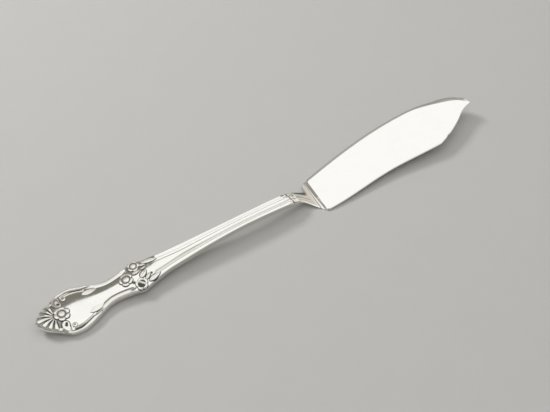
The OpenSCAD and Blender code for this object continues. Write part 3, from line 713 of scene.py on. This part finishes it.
# Leaflet: a pointed oval with toothed edges, a sunk midrib and slanting veins; midrib, veins and rim are
# darkened with oxide and painted shade
def leafPatch(size):
    u = np.linspace(0, 1, 90)[:, None]
    x = np.linspace(-1, 1, 37)[None, :]
    shape = leafShape
    teeth = 1 - shape["toothDeep"] * np.abs(np.sin(shape["teeth"] * np.pi * u)) ** 0.5 * ramp(u / 0.2)
    half = leafHalf(size, u) * teeth
    veins = hump(((u * shape["teeth"] - np.abs(x) * 0.7) % 1 - 0.5) / 0.3)
    midrib = hump(x / 0.14)
    arch = np.sin(np.pi * u ** 0.8) ** 0.3 * (1 - np.abs(x) ** 5) ** 0.5
    arch = arch * (1 + size.get("level", 0) * x * half / shape["tall"])
    low = reliefSize["rimTall"]
    height = low + (shape["tall"] - low) * arch * (1 - shape["ribSunk"] * midrib - shape["veinSunk"] * veins)
    recess = greatest([shape["ribDark"] * midrib, shape["veinDark"] * veins,
                       shape["rimDark"] * ramp((np.abs(x) - 0.84) / 0.16)])
    turn = np.radians(size["turn"])
    along = size["length"] * u
    s = size["s"] + along * np.cos(turn) - x * half * np.sin(turn)
    y = size["y"] + along * np.sin(turn) + x * half * np.cos(turn)
    return s, y, height, recess, False


for leafName, leaflets in leafSizes.items():
    reliefPiece(leafName, [leafPatch(size) for size in leaflets], reliefSilver)

# Collar: a band across the stem's end, set a little askew, whose arch is cut into three lobes
collarSize = dict(at=97.0, length=2.3, askew=0.3, tall=0.4, inset=0.12,
                  backDark=0.9, gapDark=0.8, frontDark=0.3)


# Where the collar starts: its place less a share of y, so that it lies askew
def collarStart(y):
    return collarSize["at"] - collarSize["askew"] * y


# Collar: along the stem a quick rise and a slow fall, across it lobes from the absolute cosine
def collarPatch():
    u = np.linspace(0, 1, 40)[:, None]
    v = np.linspace(-1, 1, 121)[None, :]
    y = v * (halfWidth(collarSize["at"] + u) - collarSize["inset"])
    s = collarStart(y) + collarSize["length"] * u
    lobe = np.abs(np.cos(1.5 * np.pi * v))
    arch = ramp(u / 0.25) * (1 - u) ** 0.8 * (0.3 + 0.7 * lobe ** 0.6)
    height = reliefSize["rimTall"] + collarSize["tall"] * arch
    # back edge, gaps between lobes and front edge darkened with oxide and painted shade
    recess = greatest([collarSize["backDark"] * (1 - ramp(u / 0.16)),
                       collarSize["gapDark"] * (1 - ramp(lobe / 0.35)),
                       collarSize["frontDark"] * ramp((u - 0.9) / 0.1)])
    return s, y, height, recess, False


reliefPiece("neck_collar", [collarPatch()], reliefSilver)
print("leaves and collar made")

# Handle: the face's own grooves, and the dark of the grooves and of the ground round the ornaments, oxide and
# painted shade; painted shade also on pockets, the notch, the walls and the back
carveSize = dict(
    groove=0.22, thread=0.1, line=0.12, endFrom=10.2, endTo=19.6, waistFrom=23.5, waistTo=34.2, shellTo=8.6,
    grooveIn=1.55, threadIn=2.0, endLineIn=2.3, waistLineIn=1.8, wideBefore=15.0,
    hollows=[(34.6, -2.0, 1.1), (41.3, -1.75, 0.85), (40.5, -3.1, 0.6)],
    grooveDark=0.6, edgeGrooveDark=0.35, lineDark=0.75, groundDark=0.85, shellDark=0.55, notchDark=0.8,
    hollowDark=0.9, wallDark=0.25, backDark=0.06,
)
# rows along the end and the stem, points across and under and down each wall, and where the rows bend
handleGrid = dict(splitAt=46.0, endRows=352, stemRows=108, across=161, under=23, wall=6, bendAt=0.8)
farAway = 50.0  # gap where no ornament is near


# Distance of places from a path, less the path's own half width; near zero beside the ornament
def pathGap(s, y, path, width):
    u = np.linspace(0, 1, 160)
    ps, py = path(u)
    wide = width(u)
    gap = np.full(s.shape, farAway)
    for k in range(len(u)):
        beside = np.hypot(s - ps[k], np.abs(y) - py[k]) - wide[k]
        gap = np.minimum(gap, np.where(np.abs(y) > py[k], farAway, beside))  # only the inner side
    return gap


# Distance of places from a volute's outline, along the line from its eye
def voluteGap(s, y):
    off = np.abs(y) - voluteSize["y"]
    return np.hypot(s - voluteSize["s"], off) - voluteReach(np.arctan2(off, s - voluteSize["s"]))


# Distance of places from a flower's outline, along the line from its middle
def flowerGap(s, y, size):
    r = np.hypot(s - size["s"], y - size["y"])
    angle = np.arctan2(y - size["y"], s - size["s"])
    return r - flowerReach(size, angle)[0]


# Distance of places from a leaflet's outline
def leafGap(s, y, size):
    turn = np.radians(size["turn"])
    along = (s - size["s"]) * np.cos(turn) + (y - size["y"]) * np.sin(turn)
    off = (y - size["y"]) * np.cos(turn) - (s - size["s"]) * np.sin(turn)
    u = np.clip(along / size["length"], 0, 1)
    return np.hypot(np.maximum(0, np.abs(off) - leafHalf(size, u)), along - size["length"] * u)


# Carving: height of a groove and a thread inside the end's rim and of lines beside them and at the waist;
# dark of these, of the border's lines and of the ground close to the ornaments, oxide and painted shade
def handleCarve(s, y):
    size = carveSize
    d = halfWidth(s) - np.abs(y)
    end = ramp((s - size["endFrom"]) / 0.8) * ramp((size["endTo"] - s) / 2.5)
    waist = ramp((s - size["waistFrom"]) / 1.5) * ramp((size["waistTo"] - s) / 1)
    edgeSide = y < 0
    wider = edgeSide * ramp((size["wideBefore"] - s) / 3)
    groove = end * hump((d - size["grooveIn"] + 0.2 * wider) / (0.3 + 0.14 * edgeSide + 0.3 * wider))
    thread = end * hump((d - size["threadIn"]) / 0.24)
    line = waist * hump((d - size["waistLineIn"]) / 0.24) + 0.6 * end * hump((d - size["endLineIn"]) / 0.18)
    height = size["thread"] * thread - size["groove"] * groove - size["line"] * line
    gaps = [flowerGap(s, y, flower) for flower in flowerSizes.values()]
    gaps += [leafGap(s, y, leaf) for leaflets in leafSizes.values() for leaf in leaflets]
    gaps += [pathGap(s, y, endScrollPath, endScrollWidth), pathGap(s, y, waistScrollPath, waistScrollWidth)]
    leafMiddle = waistLeafSize["y"] - waistLeafSize["sideSlope"] * (s - waistLeafSize["s"])
    innerSide = np.where(np.abs(y) > leafMiddle, 0, farAway)  # only the leaf's outer side is dark
    gaps += [voluteGap(s, y), leafGap(s, np.abs(y), waistLeafSize) + innerSide]
    ground = 1 - ramp((np.minimum.reduce(gaps) - 0.05) / 0.25)
    # painted shade of round pockets among the leaves, and of a notch before the collar; the face is not sunk
    # at either
    hollows = greatest([hump(np.hypot(s - hs, y - hy) / r) for hs, hy, r in size["hollows"]])
    notch = hump((collarStart(y) - s - 0.12) / 0.3)
    shellSide = ramp((size["shellTo"] - s) / 0.8) * ramp((d - 0.1) / 0.2)
    reed = borderShows(s) * borderDark(borderShare(s, d))
    # the grooves on the edge side get extra painted shade
    recess = greatest([
        (size["grooveDark"] + size["edgeGrooveDark"] * edgeSide) * groove, size["lineDark"] * line, reed,
        size["groundDark"] * ground, size["shellDark"] * shellSide, size["notchDark"] * notch,
        size["hollowDark"] * hollows])
    return height, recess


# Handle: rings across, upper face with its carving, side walls and rounded back
def handle():
    grid = handleGrid
    endRows = np.linspace(0, grid["splitAt"], grid["endRows"])
    stemRows = np.linspace(grid["splitAt"], h["length"], grid["stemRows"])[1:]
    s = np.concatenate([endRows, stemRows])[:, None]
    w = halfWidth(s)
    t = np.linspace(-1, 1, grid["across"])[None, :]
    share = 1 - np.abs(1.5 * t - 0.5 * t ** 3)
    narrow = borderNarrow(s)
    bend = np.clip((share - grid["bendAt"]) / (1 - grid["bendAt"]), 0, 1)
    inset = narrow * share + (1 - narrow) * bend  # rows of points follow the border
    yTop = w * np.sign(t) * (1 - inset)
    carved, dark = handleCarve(s + 0 * t, yTop)
    zTop = handleTop(s, yTop) + carved
    k = np.linspace(1, -1, grid["under"])[None, :]
    yLow = w * k
    zLow = underside(s) + h["backRound"] * np.abs(k) ** h["backPower"]
    f = np.linspace(0, 1, grid["wall"])[None, 1:-1]
    right = zTop[:, -1:] * (1 - f) + zLow[:, :1] * f
    left = zLow[:, -1:] * (1 - f) + zTop[:, :1] * f
    y = np.concatenate([yTop, w + 0 * f, yLow, -w + 0 * f], 1)
    z = np.concatenate([zTop, right, zLow, left], 1)
    # side walls and back darkened with painted shade, more on the walls than the back
    wall = carveSize["wallDark"] + 0 * s + 0 * f
    recess = np.concatenate([dark, wall, carveSize["backDark"] + 0 * yLow, wall], 1)
    return loftPiece("handle", "handle", placed(s, y, z), recess, polishedSilver)


handle()
print("handle made")


# Blade's section: shares of its height or width at the corners, and the steps along its sides. Neck: painted
# dark reflection on its spine side and in two lines as (place, half width, dark), and painted shade in the
# crease before the heel's bevel
sectionShares = dict(mostBevel=0.6, mostEdge=0.2, neckSide=0.55, plateSide=0.4, backSide=0.2, edgeTop=0.65,
                     edgeLow=0.25)
sectionSteps = [8, 1, 2, 2, 5, 5, 5, 5, 1, 2, 1]
neckLook = dict(dark=0.72, darkFrom=0.6, darkRise=0.2, lines=[(0.42, 0.07, 0.6), (0.2, 0.06, 0.4)],
                fadeAfter=0.6, fade=2.5, crease=0.6, creaseBack=0.15, creaseHalf=0.45, least=0.02)


# Spine: a quarter round at the corner and a sine up to the crest, then a power of a circle down to the tip
def spineLine(s):
    x = s - heelAt
    crest = heelAt + b["crestFromHeel"]
    t = np.clip(b["tipBlunt"] * (s - crest) / (overall - crest), 0, 1)
    fall = b["tipReach"] + (b["spineReach"] - b["tipReach"]) * (1 - t * t) ** b["tipPower"]
    climb = b["spineReach"] - b["heelReach"] - b["cornerRise"]
    rise = (b["heelReach"] + b["cornerRise"] * quarterRound(x / b["cornerLength"])
            + climb * np.sin(np.pi / 2 * np.clip(x / b["crestFromHeel"], 0, 1)))
    return np.where(s > crest, fall, rise)


# Edge: a smooth curve over heel, hollow middle and belly, then a straight line up to the tip that a sine
# makes full, with a nick in it, and hollow before the tip
def edgeLine(s):
    belly = overall - b["endLength"]
    keys = [
        (h["length"], h["stemEndWidth"] / 2), (b["flareAt"], b["neckReach"]),
        (heelAt + b["heelDropAt"], b["heelDrop"]), (heelAt + b["edgeMiddleAt"], b["edgeDrop"]),
        (belly, b["bellyDrop"]),
    ]
    t = np.clip((s - belly) / b["endLength"], 0, 1)
    full = np.sin(np.pi * t / b["endTurn"]) * (1 - b["endNick"] * hump((t - b["nickAt"]) / b["nickHalf"]))
    hollow = -b["tipHollow"] * np.sin(np.pi * (t - b["endTurn"]) / (1 - b["endTurn"]))
    shape = b["endBulge"] * np.where(t < b["endTurn"], full, hollow)
    end = -b["bellyDrop"] + (b["bellyDrop"] + b["tipReach"]) * t - shape
    return np.where(s > belly, end, -smoothCurve(keys, s))


# Share of the way along the neck, from the stem to the heel's bevel
def neckShare(s):
    return np.clip((s - h["length"]) / (bevelFrom - h["length"]), 0, 1)


# Neck's upper face: it falls from the stem's end at once and levels out a little at the heel
def neckTop(s, floor):
    left = 1 - neckShare(s)
    drop = h["stemEndRise"] + h["stemThickness"] - h["endFall"] - floor
    return floor + drop * (b["straightFall"] * left + (1 - b["straightFall"]) * left * left)


# The heel slants and its bevel narrows: places near it move along the knife by their distance from the spine
def slanted(s, y):
    share = (b["heelReach"] - y) / (b["heelReach"] + b["heelDrop"])
    narrow = b["heelTaper"] * np.clip((heelAt - s) / b["heelBevel"], 0, 1)
    slant = b["heelSlant"] * ramp(1 - (s - heelAt) / b["slantFade"])
    return s + (slant + narrow) * share * ramp(neckShare(s))


# Section with its corners cut to small curves, each at most 0.4 of a side, and its sides divided into steps
def softSection(corners, cut, steps):
    before = np.roll(corners, 1, 1) - corners
    after = np.roll(corners, -1, 1) - corners
    reachBefore = np.linalg.norm(before, axis=-1, keepdims=True)
    reachAfter = np.linalg.norm(after, axis=-1, keepdims=True)
    start = corners + before * np.minimum(cut / reachBefore, 0.4)
    stop = corners + after * np.minimum(cut / reachAfter, 0.4)
    middle = (start + stop) / 4 + corners / 2
    nextStart = np.roll(start, -1, 1)
    rows = []
    for k in range(corners.shape[1]):
        rows += [start[:, k:k + 1], middle[:, k:k + 1]]
        f = np.linspace(0, 1, steps[k] + 1)[None, :-1, None]
        rows.append(stop[:, k:k + 1] * (1 - f) + nextStart[:, k:k + 1] * f)
    return np.concatenate(rows, 1)


# Height of the blade's face above its underside: one plane that falls from the spine to the edge
def faceHeight(y):
    fall = (b["spineThickness"] - b["edgeThickness"]) / (b["spineReach"] + b["bellyDrop"])
    return b["edgeThickness"] + fall * (y + b["bellyDrop"])


# Blade: a loft of neck, bevelled heel and wedge-shaped plate, with its underside ground to one plane
def blade():
    part = sectionShares
    neck = np.linspace(h["length"] + b["solderFilm"], bevelFrom, 44)
    bevel = np.linspace(bevelFrom, heelAt, 9)[1:]
    plate = np.concatenate([
        heelAt + b["heelDropAt"] * (0.01 + 0.99 * np.linspace(0, 1, 26) ** 1.6),
        np.linspace(heelAt + b["heelDropAt"], overall - b["endLength"], 110)[1:],
        overall - b["endLength"] + b["endLength"] * np.sin(np.pi / 2 * np.linspace(0, 1, 80))[1:],
    ])
    s = np.concatenate([neck, bevel, plate])
    isNeck = s < bevelFrom + 0.01
    share = neckShare(s)
    climb = np.clip((s - bevelFrom) / (heelAt - bevelFrom), 0, 1)
    neckHigh = smoothCurve([(h["length"], h["stemEndWidth"] / 2), (b["throatAt"], b["throatReach"]),
                            (b["shoulderAt"], b["shoulderReach"]), (bevelFrom, b["heelReach"])], s)
    low = edgeLine(s)
    high = np.where(isNeck, neckHigh, np.where(s < heelAt, b["heelReach"], spineLine(s)))
    wide = high - low
    runOut = quarterRound((overall - s) / b["bevelRunOut"])  # the bevel narrows to nothing at the tip
    tipBevel = b["tipBevel"] * hump((s - overall + b["tipBevelFrom"]) / b["tipBevelReach"])
    broad = (b["spineBevel"] + tipBevel) * runOut
    steep = np.where(s > heelAt + b["cornerLength"], np.hypot(1, np.gradient(high, s)), 1)
    cut = np.minimum(np.where(isNeck, h["edgeRound"], broad * steep), part["mostBevel"] * wide)
    edgeCut = np.minimum(np.where(isNeck, b["neckRim"], b["edgeCut"]), part["mostEdge"] * wide)
    hollow = np.where(isNeck, b["neckHollow"] * np.sin(np.pi * share) - h["panelCrown"] * (1 - share), 0)

    # top of the section at a place across: neck, heel's bevel or the blade's face
    def tall(y):
        floor = np.maximum(b["leastTall"], faceHeight(y) - b["heelStep"])
        return np.where(isNeck, neckTop(s, floor) - underside(s), floor + (faceHeight(y) - floor) * climb)

    face = [((high - cut) * (1 - k) + (low + edgeCut) * k) for k in np.linspace(0, 1, 5)]
    dips = [hollow * np.sin(np.pi * k) for k in np.linspace(0, 1, 5)]
    bevelled = np.maximum(part["plateSide"] * tall(high), tall(high) - b["bevelFall"] * broad)
    side = np.where(isNeck, part["neckSide"] * tall(high), bevelled)
    corners = [(low + edgeCut, 0 * s), (high - edgeCut, 0 * s)]
    corners += [(high, part["backSide"] * tall(high)), (high, side)]
    corners += [(y, tall(y) - dip) for y, dip in zip(face, dips)]
    edgeTop = part["edgeTop"] * tall(low)
    rim = np.where(isNeck, np.maximum(edgeTop, tall(low) - b["neckRimFall"]), edgeTop)
    corners += [(low, rim), (low, part["edgeLow"] * tall(low))]
    section = softSection(np.stack([np.stack(c, -1) for c in corners], 1), b["cornerCut"], sectionSteps)
    y = section[..., 0]
    along = slanted(s[:, None], y)
    ground = (along - bevelFrom) * riseSlope
    base = np.where(isNeck[:, None], underside(along), ground)
    z = np.maximum(base + section[..., 1], ground)
    across = (y - low[:, None]) / wide[:, None]
    look = neckLook
    # neck's dark: painted dark reflection on the spine side and in two lines, fading past the shoulder, and
    # painted shade in the crease before the heel's bevel
    dims = [look["dark"] * ramp((across - look["darkFrom"]) / look["darkRise"])]
    dims += [dark * hump((across - place) / half) for place, half, dark in look["lines"]]
    fade = ramp((b["shoulderAt"] + look["fadeAfter"] - along) / look["fade"])
    crease = look["crease"] * hump((along - bevelFrom + look["creaseBack"]) / look["creaseHalf"])
    recess = greatest([look["least"], crease, greatest(dims) * fade])
    return loftPiece("blade", "blade", placed(along, y, z), recess, mirrorSilver)


blade()
print("blade made")

# Floor, light and camera
scene = bpy.context.scene
floorSize = dict(half=3.0, colour=(0.6, 0.585, 0.56), grain=(90, 90, 90), grainDark=0.03,
                 rough=0.7, gloss=0.2)


# Floor: one wide square whose colour darkens a little with a noise
def floor():
    f = Finish("pale floor")
    grain = f.noise(floorSize["grain"])
    dark = tuple(v * (1 - floorSize["grainDark"]) for v in floorSize["colour"]) + (1,)
    colour = f.mixColour(grain, floorSize["colour"] + (1,), dark)
    shader = f.node("ShaderNodeBsdfPrincipled", {}, {
        "Base Color": colour, "Roughness": floorSize["rough"], "Specular IOR Level": floorSize["gloss"]})
    f.node("ShaderNodeOutputMaterial", {}, {"Surface": shader})
    r = floorSize["half"]
    mesh = bpy.data.meshes.new("floor")
    mesh.from_pydata([(-r, -r, 0), (r, -r, 0), (r, r, 0), (-r, r, 0)], [], [(0, 1, 2, 3)])
    mesh.materials.append(f.material)
    plane = bpy.data.objects.new("floor", mesh)
    scene.collection.objects.link(plane)


floor()

# Lamps: a wide softbox that the silver mirrors, a lamp of its size for the floor that it doesn't mirror,
# and a small lamp behind to the left for the shadow
lampSizes = dict(
    softbox=dict(place=(0.27, 0.036, 1.2), target=(0.27, 0.036, 0.0), size=(1.62, 1.51), radiance=0.16,
                 mirrored=True),
    floorLamp=dict(place=(0.27, 0.036, 1.21), target=(0.27, 0.036, 0.0), size=(1.62, 1.51), radiance=0.84,
                   mirrored=False),
    shadowLamp=dict(place=(-0.28, 0.52, 0.56), target=(0, 0, 0), size=(0.2, 0.2), radiance=22.0,
                    mirrored=False),
)


# Lamp: its power is the radiance times pi times its area, and it faces its target
def lamp(name, size):
    light = bpy.data.lights.new(name, "AREA")
    light.shape = "RECTANGLE"
    light.size, light.size_y = size["size"]
    light.energy = size["radiance"] * np.pi * size["size"][0] * size["size"][1]
    made = bpy.data.objects.new(name, light)
    made.location = size["place"]
    direction = Vector(size["target"]) - Vector(size["place"])
    made.rotation_euler = direction.to_track_quat("-Z", "Y").to_euler()
    made.visible_glossy = size["mirrored"]
    scene.collection.objects.link(made)


for lampName, lampSize in lampSizes.items():
    lamp(lampName, lampSize)

# World: an even fill for the floor; the silver mirrors a grey room with a darker strip behind the softbox
worldSize = dict(
    fill=0.25, low=(0.3, 0.285, 0.26), lowRight=(0.62, 0.58, 0.5), right=(-0.3, 0.4), rightLift=0.35,
    high=(0.86, 0.86, 0.85), wallRise=(0.55, 0.9),
    backWall=(0.33, 0.34, 0.3), backFrom=(0.5, 0.75), backUnder=(0.25, 0.5),
    strip=(0.2, 0.19, 0.165), stripFrom=0.66, stripTo=1.15, stripSoft=0.008, stripFade=0.4,
    stripLeft=(-0.3, -0.1), stripRight=(0.4, 0.6), leastUp=0.02,
)


# World: colours mixed by the direction's height, side and depth; the strip lies between two values of
# depth over height
def world():
    size = worldSize
    room = bpy.data.worlds.new("studio")
    room.use_nodes = True
    scene.world = room
    f = Finish("studio", room.node_tree)
    direction = f.node("ShaderNodeTexCoord", {}, {}, "Generated")
    back = f.node("ShaderNodeSeparateXYZ", {}, {0: direction}, "Y")
    up = f.node("ShaderNodeSeparateXYZ", {}, {0: direction}, "Z")
    lean = back / up.math("MAXIMUM", up, size["leastUp"])
    across = f.node("ShaderNodeSeparateXYZ", {}, {0: direction}, "X")
    strip = (lean.between(size["stripFrom"] - size["stripSoft"], size["stripFrom"] + size["stripSoft"])
             * (1 - lean.between(size["stripTo"], size["stripTo"] + size["stripFade"]))
             * across.between(*size["stripLeft"]) * (1 - across.between(*size["stripRight"])))
    mirrored = f.node("ShaderNodeLightPath", {}, {}, "Is Glossy Ray")
    right = across.between(*size["right"])
    low = f.mixColour(right, size["low"] + (1,), size["lowRight"] + (1,))
    rise = (up + right * size["rightLift"]).between(*size["wallRise"])
    walls = f.mixColour(rise, low, size["high"] + (1,))
    behind = back.between(*size["backFrom"]) * (1 - up.between(*size["backUnder"]))
    walls = f.mixColour(behind, walls, size["backWall"] + (1,))
    seen = f.mixColour(strip, walls, size["strip"] + (1,))
    colour = f.mixColour(mirrored, (size["fill"],) * 3 + (1,), seen)
    shader = f.node("ShaderNodeBackground", {}, {"Color": colour, "Strength": 1.0})
    f.node("ShaderNodeOutputWorld", {}, {"Surface": shader})


world()

# Camera at the photograph's angle
cameraSize = dict(target=(0.00294, 0.00113, 0.0), distance=0.2923, azimuth=-30.08, elevation=57.7, wide=38.0,
                  clipStart=0.01)


# Camera: it stands at the distance from its target, in the direction of the azimuth and elevation
def camera():
    azimuth, elevation = np.radians([cameraSize["azimuth"], cameraSize["elevation"]])
    level = np.cos(elevation)
    back = Vector((np.sin(azimuth) * level, -np.cos(azimuth) * level, np.sin(elevation)))
    data = bpy.data.cameras.new("camera")
    data.sensor_fit = "HORIZONTAL"
    data.angle = np.radians(cameraSize["wide"])
    data.clip_start = cameraSize["clipStart"]
    made = bpy.data.objects.new("camera", data)
    made.location = Vector(cameraSize["target"]) + back * cameraSize["distance"]
    made.rotation_euler = back.to_track_quat("Z", "Y").to_euler()
    scene.collection.objects.link(made)
    scene.camera = made


camera()
scene.view_settings.view_transform = "Standard"
print("stage made")
